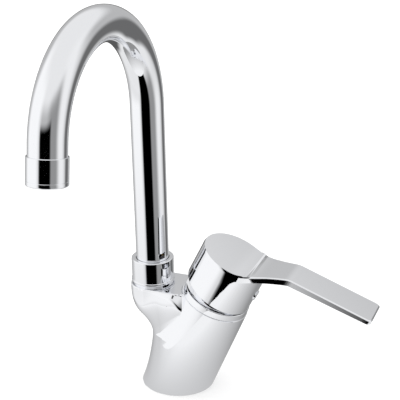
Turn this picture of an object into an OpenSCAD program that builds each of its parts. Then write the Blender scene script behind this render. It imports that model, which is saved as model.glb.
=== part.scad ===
// Single lever basin mixer with a swivelling gooseneck spout.
// Millimetres. Up is +Z and the spout points towards -Y. The body stands on z = 0 with the
// middle of its foot at the origin. The cartridge leans towards +X, where the lever points.

/* [Body] */
// Lean of the cartridge from vertical, in degrees
lean_angle = 23.5; // [18:0.5:28]
// Radius of the leaning barrel
body_radius = 23.1; // [22:0.1:25]
// Height of the barrel rim, along the leaning axis
rim_along = 73.2; // [70:0.1:76]
// Height of the flat top that carries the spout
plateau_height = 74; // [72:0.5:76]
// Place of the spout axis
riser_x = -16.3; // [-18:0.1:-15]
// Radius of the round end of the spout boss
boss_radius = 15.9; // [15:0.1:16.5]
// Narrowest radius below the spout boss
waist_radius = 15.6; // [15:0.1:17]
// Height of the narrowest place
waist_height = 35; // [32:0.5:38]
// Radius of the hollow curve below the boss
hollow_curve = 27.75; // [26:0.25:29]
// Radius of the round shoulder under the boss
shoulder_curve = 20.2; // [18:0.1:22]
// Chamfer on the edges of the body
body_edge = 0.5; // [0.2:0.1:1]

/* [Spout] */
// Outer radius of the spout tube
tube_radius = 11; // [10:0.25:12]
// Wall of the spout tube
tube_wall = 1.2; // [0.8:0.1:1.6]
// Height where the bend begins
bend_height = 198.3; // [160:0.1:230]
// Radius of the bend, to the middle of the tube
bend_radius = 62.2; // [50:0.1:75]
// Turn of the bend, in degrees
bend_angle = 171; // [160:1:180]
// Straight piece between the bend and the outlet ring
leg_length = 6.6; // [2:0.1:20]
// Outer radius of the outlet ring
outlet_radius = 11.8; // [11.4:0.1:12.6]
// Length of the outlet ring
outlet_length = 16.2; // [14:0.1:20]
// Swing of the spout to each side, in degrees
swing_angle = 60; // [40:5:70]
// Radius of the union nut
collar_radius = 14.3; // [14.2:0.1:15]
// Radius of the bead at the foot of the union nut
bead_radius = 14.8; // [14.6:0.1:15.4]
// Height of the union nut above the flat top
collar_height = 17.8; // [17.8:0.1:20]

/* [Cartridge] */
// Depth of the cartridge seat below the barrel rim
seat_depth = 23.2; // [23:0.1:24]
// Radius of the cartridge housing
cartridge_radius = 17.4; // [17:0.1:17.6]
// Height of the lever pin above the barrel rim
pin_rise = 6.8; // [6.7:0.1:7]
// Radius of the lever pin
pin_radius = 1.5; // [1.25:0.05:1.75]
// Radius of each inlet port
port_radius = 3.4; // [3:0.1:3.6]
// Sideways place of each inlet port
port_side = 7.5; // [7.2:0.1:7.8]
// Turn of the lever to each side, in degrees
turn_angle = 45; // [35:5:50]

/* [Lever] */
// Lean of the shut handle from vertical, in degrees
handle_lean = 27; // [25:0.5:29]
// Radius of the round handle cap
cap_radius = 23.5; // [23:0.1:24.5]
// Height of the cap top above the lever pin
cap_height = 30.6; // [29:0.1:33]
// Wall of the handle skirt
skirt_wall = 2; // [1.8:0.1:2.2]
// Length of the lever blade past its bend
blade_length = 57.7; // [45:0.1:70]
// Width of the lever blade
blade_width = 26; // [22:0.1:28]
// Thickness of the lever at the bend
blade_thickness = 4.2; // [3.5:0.1:5]
// Thickness of the lever at its tip
tip_thickness = 3; // [2.4:0.1:3.6]

/* [Fits] */
// Radial play of a part that turns in a bore
running_gap = 0.06; // [0.03:0.01:0.1]
// Space between parts that pass each other
pass_gap = 0.3; // [0.3:0.05:0.5]

/* [Hidden] */
// Names of all the pieces, in the order of the list below
$fn = 96;
// Small overlap that keeps cuts clean
cut = 0.1;

// Body values
waist_centre = waist_radius + hollow_curve;
shoulder_proud = 0.05;
shoulder_centre = boss_radius - riser_x - shoulder_curve + shoulder_proud;
curve_sum = hollow_curve + shoulder_curve;
curve_offset = waist_centre - shoulder_centre;
shoulder_height = waist_height + sqrt(curve_sum * curve_sum - curve_offset * curve_offset);
meet_part = hollow_curve / curve_sum;
meet_radius = waist_centre - curve_offset * meet_part;
meet_height = waist_height + (shoulder_height - waist_height) * meet_part;
barrel_below = body_radius * 0.65;
boss_inset = 8;
seat_along = rim_along - seat_depth;
nut_thread_depth = 8.7;
thread_radius = cartridge_radius + 2.9;
thread_along = rim_along - nut_thread_depth;
cavity_gap = 0.2;
cavity_radius = cartridge_radius + cavity_gap;
outlet_local = -8.5;
outlet_port = 4;
outlet_drop = 6.5;
inlet_local = 5;
hose_x = 8.5;
hose_side = 8;
hose_radius = 4.5;
hose_depth = 17;
stud_x = -9;
stud_radius = 3.4;
stud_depth = 18;
gasket_inner = 18.3;
gasket_outer = 21;
gasket_depth = 2.2;
gasket_play = 0.15;
passage_low = 15;
bore_depth = 13;
bore_floor = plateau_height - bore_depth;
channel_drop = 6.4;
channel_low_x = 9.2;
channel_high_x = -13;
channel_rise = 1.5;
channel_low = [channel_low_x, seat_along - channel_drop];
channel_high = [channel_high_x, bore_floor + channel_rise];
channel_radius = 3.6;

// Spout values, as heights above the deck
neck_foot_radius = 13.6;
neck_foot_height = 1.2;
neck_foot_top = plateau_height + neck_foot_height;
neck_radius = 12.8;
neck_height = 9;
neck_top = plateau_height + neck_height;
bore_radius = 10.4;
bead_gap = 0.1;
bead_height = 1.8;
bead_low = neck_foot_top + bead_gap;
bead_top = bead_low + bead_height;
collar_top = plateau_height + collar_height;
bush_radius = bore_radius - running_gap;
bush_bore = 7.8;
bush_lift = 2;
bush_foot = bore_floor + bush_lift;
slide_ring = 0.8;
flange_height = 3.14;
flange_low = neck_top + slide_ring + running_gap;
flange_top = flange_low + flange_height;
flange_radius = 12.2;
lip_low = flange_top + slide_ring + 2 * running_gap;
thread_gap = 0.05;
nut_edge = 0.8;
bead_edge = 0.4;
nut_thread = neck_radius + thread_gap;
nut_chamber = flange_radius + pass_gap;
tube_bore = tube_radius - tube_wall;
plug_length = 11;
plug_top = flange_top + plug_length;
lip_radius = tube_radius + pass_gap;
groove_foot = 3.5;
groove_pitch = 6.5;
ring_groove_heights = [bush_foot + groove_foot, bush_foot + groove_foot + groove_pitch];
ring_groove_half = 1;
o_ring_wire = 0.75;
o_ring_play = 0.02;
ring_groove_radius = bush_radius - 2 * o_ring_wire - 2 * o_ring_play;
o_ring_centre = ring_groove_radius + o_ring_wire + o_ring_play;
dog_half = 14;
stop_play = 2;
slot_reach = 5;
ring_play = 0.1;
dog_height = 2.4;
dog_top = neck_top + dog_height;
dog_inner = bush_radius + 0.55;
dog_outer = flange_radius - 0.2;
tube_in_ring = 4.4;
leg_overlap = 0.5;
leg_step = 0.02;
leg_radius = tube_radius + leg_step;
leg_bore = tube_bore - leg_step;
outlet_lead = 0.5;
outlet_edge = 1;
groove_depth = 0.35;
groove_width = 0.4;
groove_back = 3.1;
groove_low = leg_length + outlet_length - groove_back;
washer_thickness = 1;
washer_bore = 7.4;
insert_radius = outlet_radius - 1.5;
insert_recess = 0.6;
insert_top = leg_length + tube_in_ring + washer_thickness;
insert_end = leg_length + outlet_length - insert_recess;
insert_wall = 1.1;
jet_plate = 1.5;
jet_plate_low = insert_top + jet_plate;
jet_radius = 1.2;
jet_circle = 5.6;
cross_thickness = 1;
cross_height = 2.6;
cross_back = 4.5;
cross_low = insert_end - cross_back;
mesh_back = 1.4;
mesh_low = insert_end - mesh_back;
mesh_thickness = 0.5;
mesh_step = 2.2;
mesh_opening = 1.4;
mesh_limit = 11;

// Cartridge values, along the leaning axis
pin_along = rim_along + pin_rise;
base_height = 4;
base_top = seat_along + base_height;
seal_inner = port_radius + 0.8;
seal_width = 1.4;
seal_outer = seal_inner + seal_width;
seal_depth = 1.3;
seal_play = 0.01;
seal_wire = seal_depth / 2 - seal_play;
fixed_height = 4;
disc_top = base_top + fixed_height;
disc_film = 0.03;
moving_height = 3.5;
moving_low = disc_top + disc_film;
moving_top = moving_low + moving_height;
carrier_height = 6;
carrier_web = 1;
carrier_top = moving_top + carrier_height;
fork_floor = moving_top + carrier_web;
moving_radius = 10.8;
mixing_radius = 6.2;
mixing_depth = 2;
fixed_radius = cartridge_radius - 2.4;
carrier_room = cartridge_radius - 1.3;
ball_radius = 2.8;
ball_play = 0.4;
ball_along = fork_floor + ball_radius + ball_play;
stem_arm = pin_along - ball_along;
disc_start = -stem_arm * sin(handle_lean - lean_angle);
fork_half = ball_radius + pass_gap;
stem_rod = 1.9;
rotor_low = carrier_top + pass_gap;
rotor_radius = cartridge_radius - 3.4;
rotor_head = 4.6;
rotor_neck = 11;
rotor_slot = 9.4;
pin_half = rotor_neck - 1;
rotor_top = pin_along + rotor_head;
housing_top = pin_along + 0.2;
housing_neck = rotor_radius + 0.2;
housing_neck_height = 5.4;
housing_step = housing_top - housing_neck_height;
roof_cut = 1.3;
roof_along = housing_step + roof_cut;
rotor_step = roof_along - 0.1;
stop_height = 2.6;
stop_low = housing_top;
stop_top = housing_top + stop_height;
tab_half = 8;
tab_radius = rotor_neck + 1.4;
stop_inner = tab_radius + 0.5;
stop_outer = housing_neck - 0.2;
nut_bottom = thread_along + 1.5;
nut_shelf = housing_step;
nut_rise = 4.4;
nut_top = rim_along + nut_rise;
nut_head = thread_radius - 1.9;
nut_recess = 0.2;
nut_play = 0.15;
trim_edge_height = 2.2;
trim_flat = rim_along + trim_edge_height;
trim_shoulder = 2.6;
trim_height = 9.8;
trim_dome_top = rim_along + trim_height;
trim_radius = body_radius - 0.2;
trim_dome_radius = housing_neck + 2.4;
trim_inner = trim_radius - 2.3;
trim_step = nut_head + 0.2;
trim_step_along = nut_top + 0.2;
trim_cone_height = 4.2;
trim_cone_top = trim_step_along + trim_cone_height;
trim_cone_radius = housing_neck + 1.5;
trim_play = 0.4;

// Lever values, from the pin, in the frame of the shut handle
cap_offset = -1.1;
bend_x = 36.5;
bend_h = 43.6;
neck_slope = handle_lean;
blade_slope = 6.5;
tip_x = bend_x + blade_length * cos(blade_slope);
tip_h = bend_h + blade_length * sin(blade_slope);
tip_round = 3;
valley_curve = 26;
valley_x = bend_x - (bend_h - cap_height) / tan(neck_slope);
valley_start = valley_x - valley_curve * tan(neck_slope / 2);
valley_step = neck_slope / 9;
mitre_angle = (neck_slope + blade_slope) / 2;
mitre_length = blade_thickness / cos((neck_slope - blade_slope) / 2);
under_x = bend_x + mitre_length * sin(mitre_angle);
under_h = bend_h - mitre_length * cos(mitre_angle);
plate_start = 6;
blade_half = blade_width / 2;
flare_curve = 60;
flare_y = blade_half + flare_curve;
flare_sum = cap_radius + flare_curve;
flare_x = cap_offset + sqrt(flare_sum * flare_sum - flare_y * flare_y);
touch_x = cap_offset + (flare_x - cap_offset) * cap_radius / flare_sum;
touch_y = flare_y * cap_radius / flare_sum;
skirt_low = 2.1;
skirt_slope = 6.5;
roof_height = 25;
stem_side = 3.6;
stem_top = 21;
stem_below = 5;
stem_boss = 7.5;
socket_low = 10;
screw_height = 13;
screw_radius = 2.5;
screw_length = 6;
key_radius = 1.25;
plug_radius = 3.7;
plug_rise = 0.8;
deep = 80;
join = 2;

module leaning() {
    rotate([0, lean_angle, 0])
        children();
}

module at_handle() {
    leaning()
        translate([0, 0, pin_along])
            rotate([0, handle_lean - lean_angle, 0])
                children();
}

module at_riser() {
    translate([riser_x, 0, 0])
        children();
}

module at_outlet() {
    translate([riser_x, -bend_radius, bend_height])
        rotate([bend_angle, 0, 0])
            translate([0, bend_radius, 0])
                children();
}

module ring(outer, inner, low, high) {
    translate([0, 0, low])
        difference() {
            cylinder(r = outer, h = high - low);
            translate([0, 0, -cut])
                cylinder(r = inner, h = high - low + 2 * cut);
        }
}

module rod(radius, low, high) {
    translate([0, 0, low])
        cylinder(r = radius, h = high - low);
}

// Solid turned about the axis from a profile of radius and height
module turned(points) {
    rotate_extrude()
        polygon(points);
}

// Rod across the axis, its middle on the axis
module crosswise(radius, half) {
    translate([0, half, 0])
        rotate([90, 0, 0])
            cylinder(r = radius, h = 2 * half);
}

// Block of a ring between two angles
module sector(inner, outer, low, high, middle, half) {
    rotate([0, 0, middle - half])
        rotate_extrude(angle = 2 * half)
            translate([inner, low])
                square([outer - inner, high - low]);
}

module bar_between(radius, from, to) {
    run = to - from;
    length = norm(run);
    translate([from[0], 0, from[1]])
        rotate([0, atan2(run[0], run[1]), 0])
            cylinder(r = radius, h = length);
}

// Mixer body: leaning barrel, spout boss, bores, water ways and threaded holes
module boss_profile() {
    union() {
        square([waist_radius, waist_height]);
        difference() {
            translate([0, waist_height])
                square([meet_radius, meet_height - waist_height]);
            translate([waist_centre, waist_height])
                circle(r = hollow_curve);
        }
        intersection() {
            translate([shoulder_centre, shoulder_height])
                circle(r = shoulder_curve);
            translate([0, meet_height])
                square([deep, shoulder_height - meet_height]);
        }
        translate([0, shoulder_height])
            square([shoulder_centre + shoulder_curve, plateau_height - shoulder_height]);
    }
}

module boss_solid() {
    intersection() {
        rotate_extrude()
            boss_profile();
        translate([0, 0, -cut])
            linear_extrude(plateau_height + 2 * cut)
                union() {
                    translate([riser_x, 0])
                        circle(r = boss_radius);
                    translate([riser_x, -boss_radius])
                        square([body_radius - riser_x - boss_inset, 2 * boss_radius]);
                }
    }
}

module barrel_solid() {
    difference() {
        leaning()
            turned([
                [0, -barrel_below],
                [body_radius, -barrel_below],
                [body_radius, rim_along - body_edge],
                [body_radius - body_edge, rim_along],
                [0, rim_along]
            ]);
        translate([-deep, -deep, -deep])
            cube([2 * deep, 2 * deep, deep]);
    }
}

module water_ways() {
    for (side = [-1, 1]) {
        leaning()
            translate([inlet_local, side * port_side, 0])
                rod(port_radius, passage_low, seat_along + cut);
        translate([hose_x, side * hose_side, -cut])
            cylinder(r = hose_radius, h = hose_depth + cut);
    }
    leaning()
        translate([outlet_local, 0, 0])
            rod(outlet_port, seat_along - outlet_drop, seat_along + cut);
    bar_between(channel_radius, channel_low, channel_high);
}

module mixer_body() {
    color([0.86, 0.87, 0.89])
        difference() {
            union() {
                barrel_solid();
                difference() {
                    boss_solid();
                    leaning()
                        rod(deep, rim_along, rim_along + deep);
                }
                at_riser() {
                    rod(neck_foot_radius, plateau_height - cut, neck_foot_top);
                    rod(neck_radius, plateau_height - cut, neck_top);
                    spout_dog();
                }
            }
            leaning() {
                rod(cavity_radius, seat_along, rim_along + 1);
                rod(thread_radius, thread_along, rim_along + 1);
            }
            at_riser()
                rod(bore_radius, bore_floor, dog_top + 1);
            water_ways();
            translate([stud_x, 0, -cut])
                cylinder(r = stud_radius, h = stud_depth + cut);
            ring(gasket_outer, gasket_inner, -cut, gasket_depth);
        }
}

// Stop on the neck that limits the swing of the spout
module spout_dog() {
    sector(dog_inner, dog_outer, neck_top - cut, dog_top, 90, dog_half);
}

// Base gasket: rubber ring in the underside, level with the foot
module base_gasket() {
    color([0.12, 0.12, 0.13])
        ring(gasket_outer - gasket_play, gasket_inner + gasket_play, 0, gasket_depth);
}

// Cartridge base: plastic plate with three ports, on the seat
module cartridge_base() {
    color([0.85, 0.85, 0.82])
        leaning()
            difference() {
                rod(cartridge_radius, seat_along, base_top);
                port_holes(seat_along - cut, base_top + cut, port_radius);
                for (place = port_places())
                    translate([place[0], place[1], 0])
                        ring(seal_outer, seal_inner, seat_along - cut, seat_along + seal_depth);
            }
}

function port_places() = [[inlet_local, port_side], [inlet_local, -port_side], [outlet_local, 0]];

module port_holes(low, high, radius) {
    for (place = port_places())
        translate([place[0], place[1], 0])
            rod(radius, low, high);
}

// Port seals: three rubber rings under the cartridge base
module cartridge_port_seals() {
    color([0.12, 0.12, 0.13])
        leaning()
            for (place = port_places())
                translate([place[0], place[1], seat_along + seal_depth / 2])
                    rotate_extrude()
                        translate([(seal_outer + seal_inner) / 2, 0])
                            circle(r = seal_wire);
}

// Fixed disc: ceramic plate with the three ports, does not turn
module fixed_ceramic_disc() {
    color([0.95, 0.94, 0.92])
        leaning()
            difference() {
                rod(fixed_radius, base_top, disc_top);
                port_holes(base_top - cut, disc_top + cut, port_radius);
            }
}

// Moving disc: ceramic plate with a mixing chamber underneath
module moving_ceramic_disc() {
    color([0.95, 0.94, 0.92])
        leaning()
            translate([disc_start, 0, 0])
                difference() {
                    rod(moving_radius, moving_low, moving_top);
                    rod(mixing_radius, moving_low - cut, moving_low + mixing_depth);
                }
}

// Disc carrier: plastic cup on the moving disc with a slot for the stem ball
module disc_carrier() {
    color([0.35, 0.36, 0.38])
        leaning()
            translate([disc_start, 0, 0])
                difference() {
                    rod(moving_radius, moving_top, carrier_top);
                    translate([-fork_half, -fork_half, fork_floor])
                        cube([2 * fork_half, 2 * fork_half, carrier_top]);
                }
}

// Rotor: plastic core that turns with the lever and holds its pin
module cartridge_rotor() {
    color([0.3, 0.31, 0.33])
        leaning()
            difference() {
                union() {
                    rod(rotor_radius, rotor_low, rotor_step);
                    rod(rotor_neck, rotor_low, rotor_top);
                    sector(rotor_neck - join, tab_radius, housing_top + pass_gap, stop_top, 180, tab_half);
                }
                translate([-rotor_slot, -stem_side - pass_gap, rotor_low - cut])
                    cube([2 * rotor_slot, 2 * (stem_side + pass_gap), rotor_top]);
                translate([0, 0, pin_along])
                    crosswise(pin_radius, rotor_neck + join);
            }
}

// Lever pin: steel pin through the rotor and the stem
module pivot_pin() {
    color([0.7, 0.71, 0.73])
        leaning()
            translate([0, 0, pin_along])
                crosswise(pin_radius, pin_half);
}

// Lever stem: square brass stem with a ball end that pushes the disc carrier
module lever_stem() {
    color([0.78, 0.66, 0.38])
        at_handle()
            difference() {
                union() {
                    translate([-stem_side, -stem_side, -stem_below])
                        cube([2 * stem_side, 2 * stem_side, stem_top + stem_below]);
                    rod(stem_rod, -stem_arm, join - stem_below);
                    translate([0, 0, -stem_arm])
                        sphere(r = ball_radius);
                }
                crosswise(pin_radius + running_gap, stem_side + join);
            }
}

// Cartridge housing: plastic shell around the discs and the rotor
module cartridge_housing() {
    color([0.88, 0.88, 0.85])
        leaning()
            difference() {
                union() {
                    rod(cartridge_radius, base_top, housing_step);
                    rod(housing_neck, housing_step - cut, housing_top);
                }
                rod(fixed_radius, base_top - cut, disc_top);
                rod(carrier_room, disc_top - cut, carrier_top + pass_gap / 2);
                rod(rotor_radius + running_gap, carrier_top, roof_along);
                rod(rotor_neck + running_gap, roof_along - cut, housing_top + cut);
            }
}

// Temperature limit ring: red ring whose lugs stop the turn of the lever
module temperature_limit_ring() {
    color([0.75, 0.16, 0.13])
        leaning()
            union() {
                ring(stop_outer, stop_inner, stop_low, stop_top);
                for (side = [-1, 1])
                    sector(rotor_neck + pass_gap, stop_inner + pass_gap, stop_low, stop_top,
                        180 + side * (turn_angle + 2 * tab_half + stop_play), tab_half);
            }
}

// Cartridge nut: brass nut that clamps the cartridge, with six flats
module cartridge_nut() {
    color([0.78, 0.66, 0.38])
        leaning()
            difference() {
                union() {
                    rod(thread_radius - thread_gap, nut_bottom, rim_along - nut_recess);
                    translate([0, 0, rim_along - nut_recess - cut])
                        cylinder(r = nut_head, h = nut_top - rim_along + nut_recess + cut, $fn = 6);
                }
                rod(cartridge_radius + nut_play, nut_bottom - cut, nut_shelf);
                rod(housing_neck + nut_play, nut_shelf - cut, nut_top + cut);
            }
}

// Trim ring: chrome cover that bridges the barrel rim and the cartridge neck
module trim_outside() {
    union() {
        rod(trim_radius, rim_along, trim_flat);
        rod(trim_radius - trim_shoulder, rim_along, trim_flat + trim_shoulder);
        translate([0, 0, trim_flat])
            rotate_extrude()
                translate([trim_radius - trim_shoulder, 0])
                    intersection() {
                        circle(r = trim_shoulder);
                        square(trim_shoulder);
                    }
        turned([
            [0, trim_flat + trim_shoulder - cut],
            [trim_radius - trim_shoulder - 2 * cut, trim_flat + trim_shoulder - cut],
            [trim_dome_radius, trim_dome_top],
            [0, trim_dome_top]
        ]);
    }
}

module trim_ring() {
    color([0.86, 0.87, 0.89])
        leaning()
            difference() {
                trim_outside();
                turned([
                    [0, rim_along - cut],
                    [trim_inner, rim_along - cut],
                    [trim_inner, trim_flat + cut],
                    [trim_step, trim_flat + cut],
                    [trim_step, trim_step_along],
                    [trim_cone_radius, trim_cone_top],
                    [housing_neck + trim_play, trim_cone_top],
                    [housing_neck + trim_play, trim_dome_top + cut],
                    [0, trim_dome_top + cut]
                ]);
            }
}

// Spout nut: chrome union nut with a bead, holds the spout on the neck
module spout_nut() {
    color([0.86, 0.87, 0.89])
        at_riser()
            difference() {
                turned([
                    [0, bead_low],
                    [bead_radius - bead_edge, bead_low],
                    [bead_radius, bead_low + bead_edge],
                    [bead_radius, bead_top - bead_edge],
                    [bead_radius - bead_edge, bead_top],
                    [collar_radius, bead_top],
                    [collar_radius, collar_top - nut_edge],
                    [collar_radius - nut_edge, collar_top],
                    [0, collar_top]
                ]);
                rod(nut_thread, bead_low - cut, neck_top);
                rod(nut_chamber, neck_top - cut, lip_low);
                rod(lip_radius, lip_low - cut, collar_top + cut);
            }
}

// Slide rings: plastic washers below and above the flange of the bush
module lower_slide_ring() {
    color([0.92, 0.92, 0.9])
        at_riser()
            difference() {
                ring(flange_radius, bush_radius + ring_play, neck_top, neck_top + slide_ring);
                sector(bush_radius - join, bush_radius + slot_reach, neck_top - cut, flange_low,
                    90, dog_half + stop_play);
            }
}

module upper_slide_ring() {
    color([0.92, 0.92, 0.9])
        at_riser()
            ring(flange_radius, tube_radius + ring_play, lip_low - slide_ring, lip_low);
}

// Spout bush: brass sleeve on the foot of the tube, with seal grooves and a stop slot
module spout_bush() {
    color([0.78, 0.66, 0.38])
        at_riser()
            difference() {
                union() {
                    rod(bush_radius, bush_foot, flange_low + cut);
                    rod(flange_radius, flange_low, flange_top);
                    rod(tube_bore, flange_top - cut, plug_top);
                }
                rod(bush_bore, bush_foot - cut, plug_top + cut);
                for (height = ring_groove_heights)
                    ring(bore_radius + join, ring_groove_radius, height - ring_groove_half, height + ring_groove_half);
                sector(dog_inner - pass_gap, dog_inner + slot_reach, flange_low - cut, dog_top + pass_gap,
                    90, dog_half + swing_angle + stop_play);
            }
}

// Spout seals: two rubber rings in the grooves of the bush
module spout_o_rings() {
    color([0.12, 0.12, 0.13])
        at_riser()
            for (height = ring_groove_heights)
                translate([0, 0, height])
                    rotate_extrude()
                        translate([o_ring_centre, 0])
                            circle(r = o_ring_wire);
}

// Spout tube: bent chrome tube from the union nut to the outlet ring
module spout_tube() {
    color([0.86, 0.87, 0.89])
        union() {
            at_riser()
                ring(tube_radius, tube_bore, flange_top, bend_height);
            translate([riser_x, -bend_radius, bend_height])
                rotate([90, 0, 90]) {
                    rotate_extrude(angle = bend_angle)
                        translate([bend_radius, 0])
                            difference() {
                                circle(r = tube_radius);
                                circle(r = tube_bore);
                            }
                    rotate([0, 0, bend_angle])
                        translate([bend_radius, 0, 0])
                            rotate([-90, 0, 0])
                                ring(leg_radius, leg_bore, -leg_overlap, leg_length + tube_in_ring);
                }
        }
}

// Outlet ring: chrome ring with a fine groove, holds the aerator
module aerator_ring() {
    color([0.86, 0.87, 0.89])
        at_outlet()
            difference() {
                turned([
                    [0, leg_length],
                    [outlet_radius - outlet_lead, leg_length],
                    [outlet_radius, leg_length + outlet_lead],
                    [outlet_radius, leg_length + outlet_length - outlet_edge],
                    [outlet_radius - outlet_edge, leg_length + outlet_length],
                    [0, leg_length + outlet_length]
                ]);
                rod(leg_radius, leg_length - cut, leg_length + tube_in_ring);
                rod(insert_radius, leg_length, leg_length + outlet_length + cut);
                ring(outlet_radius + join, outlet_radius - groove_depth, groove_low, groove_low + groove_width);
            }
}

// Aerator washer: rubber washer between the tube end and the insert
module aerator_washer() {
    color([0.12, 0.12, 0.13])
        at_outlet()
            ring(insert_radius, washer_bore, leg_length + tube_in_ring, insert_top);
}

// Aerator insert: plastic cup with a cross that breaks up the flow
module aerator_insert() {
    color([0.9, 0.9, 0.88])
        at_outlet()
            union() {
                ring(insert_radius, insert_radius - insert_wall, insert_top, insert_end);
                difference() {
                    rod(insert_radius - insert_wall / 2, jet_plate_low, jet_plate_low + jet_plate);
                    for (turn = [0 : 45 : 315])
                        rotate([0, 0, turn])
                            translate([jet_circle, 0, 0])
                                rod(jet_radius, jet_plate_low - cut, jet_plate_low + jet_plate + cut);
                    rod(jet_radius, jet_plate_low - cut, jet_plate_low + jet_plate + cut);
                }
                for (turn = [0, 90])
                    rotate([0, 0, turn])
                        translate([-insert_radius + insert_wall / 2, -cross_thickness / 2, cross_low])
                            cube([2 * insert_radius - insert_wall, cross_thickness, cross_height]);
            }
}

// Aerator mesh: steel mesh disc at the mouth of the outlet
module aerator_mesh() {
    color([0.6, 0.61, 0.63])
        at_outlet()
            difference() {
                rod(insert_radius - insert_wall, mesh_low, mesh_low + mesh_thickness);
                for (row = [-3 : 3])
                    for (column = [-3 : 3])
                        if (row * row + column * column < mesh_limit)
                            translate([
                                row * mesh_step - mesh_opening / 2,
                                column * mesh_step - mesh_opening / 2,
                                mesh_low - cut
                            ])
                                cube([mesh_opening, mesh_opening, mesh_thickness + 2 * cut]);
            }
}

// Handle: hollow round cap that runs through a neck into a flat blade
module lever_plan() {
    union() {
        translate([cap_offset, 0])
            circle(r = cap_radius);
        difference() {
            translate([touch_x - join, -touch_y])
                square([flare_x - touch_x + join, 2 * touch_y]);
            for (side = [-1, 1])
                translate([flare_x, side * flare_y])
                    circle(r = flare_curve);
        }
        translate([flare_x - join, -blade_half])
            square([tip_x - tip_round - flare_x + join, 2 * blade_half]);
        translate([flare_x, tip_round - blade_half])
            square([tip_x - flare_x, 2 * (blade_half - tip_round)]);
        for (side = [-1, 1])
            translate([tip_x - tip_round, side * (blade_half - tip_round)])
                circle(r = tip_round);
    }
}

function valley_points() = [
    for (turn = [0 : 9])
        [
            valley_start + valley_curve * sin(turn * valley_step),
            cap_height + valley_curve * (1 - cos(turn * valley_step))
        ]
];

module side_cut(points) {
    rotate([90, 0, 0])
        linear_extrude(deep, center = true)
            polygon(points);
}

module handle_outside() {
    union() {
        intersection() {
            translate([cap_offset, 0, -deep / 2])
                cylinder(r = cap_radius, h = 2 * deep);
            side_cut(concat(
                [[-deep, -deep / 2], [-deep, cap_height]],
                valley_points(),
                [[bend_x, bend_h], [bend_x, -deep / 2]]
            ));
        }
        intersection() {
            linear_extrude(deep)
                lever_plan();
            side_cut(concat(
                [[plate_start, under_h - (under_x - plate_start) * tan(neck_slope)], [plate_start, cap_height]],
                [for (point = valley_points()) if (point[0] > plate_start) point],
                [[bend_x, bend_h], [tip_x, tip_h], [tip_x, tip_h - tip_thickness], [under_x, under_h]]
            ));
        }
    }
}

module handle() {
    color([0.86, 0.87, 0.89])
        at_handle()
            difference() {
                handle_outside();
                translate([0, 0, skirt_low])
                    rotate([0, skirt_slope, 0])
                        translate([-deep, -deep, -deep])
                            cube([2 * deep, 2 * deep, deep]);
                difference() {
                    translate([cap_offset, 0, -deep])
                        cylinder(r = cap_radius - skirt_wall, h = deep + roof_height);
                    rod(stem_boss, socket_low, roof_height + join);
                }
                translate([-stem_side, -stem_side, 0])
                    cube([2 * stem_side, 2 * stem_side, stem_top]);
                translate([stem_side - cut, 0, screw_height])
                    rotate([0, 90, 0])
                        cylinder(r = screw_radius, h = stem_boss);
                translate([cap_radius / 2, 0, screw_height])
                    rotate([0, 90, 0])
                        cylinder(r = plug_radius, h = cap_radius);
            }
}

// Handle screw: steel grub screw that clamps the handle on the stem
module handle_set_screw() {
    color([0.6, 0.61, 0.63])
        at_handle()
            translate([stem_side, 0, screw_height])
                rotate([0, 90, 0])
                    difference() {
                        cylinder(r = screw_radius, h = screw_length);
                        translate([0, 0, screw_length / 2])
                            cylinder(r = key_radius, h = screw_length, $fn = 6);
                    }
}

// Index plug: small cap over the screw hole, front and centre below the neck
module index_plug() {
    color([0.8, 0.81, 0.83])
        at_handle()
            translate([cap_offset + cap_radius - skirt_wall, 0, screw_height])
                rotate([0, 90, 0])
                    cylinder(r = plug_radius, h = skirt_wall + plug_rise);
}

mixer_body();
base_gasket();
cartridge_base();
cartridge_port_seals();
fixed_ceramic_disc();
moving_ceramic_disc();
disc_carrier();
cartridge_rotor();
pivot_pin();
lever_stem();
cartridge_housing();
temperature_limit_ring();
cartridge_nut();
trim_ring();
spout_nut();
lower_slide_ring();
upper_slide_ring();
spout_bush();
spout_o_rings();
spout_tube();
aerator_ring();
aerator_washer();
aerator_insert();
aerator_mesh();
handle();
handle_set_screw();
index_plug();
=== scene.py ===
import math

import bmesh
import bpy
import numpy
from mathutils import Matrix, Vector


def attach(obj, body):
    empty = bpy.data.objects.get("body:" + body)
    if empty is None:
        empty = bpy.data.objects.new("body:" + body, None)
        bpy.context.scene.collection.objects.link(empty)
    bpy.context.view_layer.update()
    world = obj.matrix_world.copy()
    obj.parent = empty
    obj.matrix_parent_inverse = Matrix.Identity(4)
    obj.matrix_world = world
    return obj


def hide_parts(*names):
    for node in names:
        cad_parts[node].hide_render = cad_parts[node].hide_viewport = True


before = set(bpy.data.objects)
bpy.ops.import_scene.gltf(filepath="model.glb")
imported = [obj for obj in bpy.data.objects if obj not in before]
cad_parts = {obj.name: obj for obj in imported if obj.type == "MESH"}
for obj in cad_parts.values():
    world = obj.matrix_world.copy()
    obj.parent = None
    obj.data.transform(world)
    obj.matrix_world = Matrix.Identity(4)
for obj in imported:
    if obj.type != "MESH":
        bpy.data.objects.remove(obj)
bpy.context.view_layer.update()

mm = 0.001

# Camera. The photograph looks at the mixer from its front and a little from the lever's side,
# from above, through a long lens, with the horizon turned by one degree.
gaze = Vector((-0.36064, 0.86447, -0.35020)).normalized()
level = gaze.cross(Vector((0, 0, 1))).normalized()
rise = level.cross(gaze)
roll = math.radians(-1.1)
view_right = level * math.cos(roll) + rise * math.sin(roll)
view_up = rise * math.cos(roll) - level * math.sin(roll)
camera_data = bpy.data.cameras.new("photo_camera")
camera_data.sensor_width = 36
camera_data.lens = 89.87
camera_data.clip_end = 20
camera = bpy.data.objects.new("photo_camera", camera_data)
bpy.context.scene.collection.objects.link(camera)
camera.matrix_world = Matrix.Translation((0.25383, -0.56205, 0.36460)) @ Matrix(
    (view_right, view_up, -gaze)
).transposed().to_4x4()
bpy.context.scene.camera = camera

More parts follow.
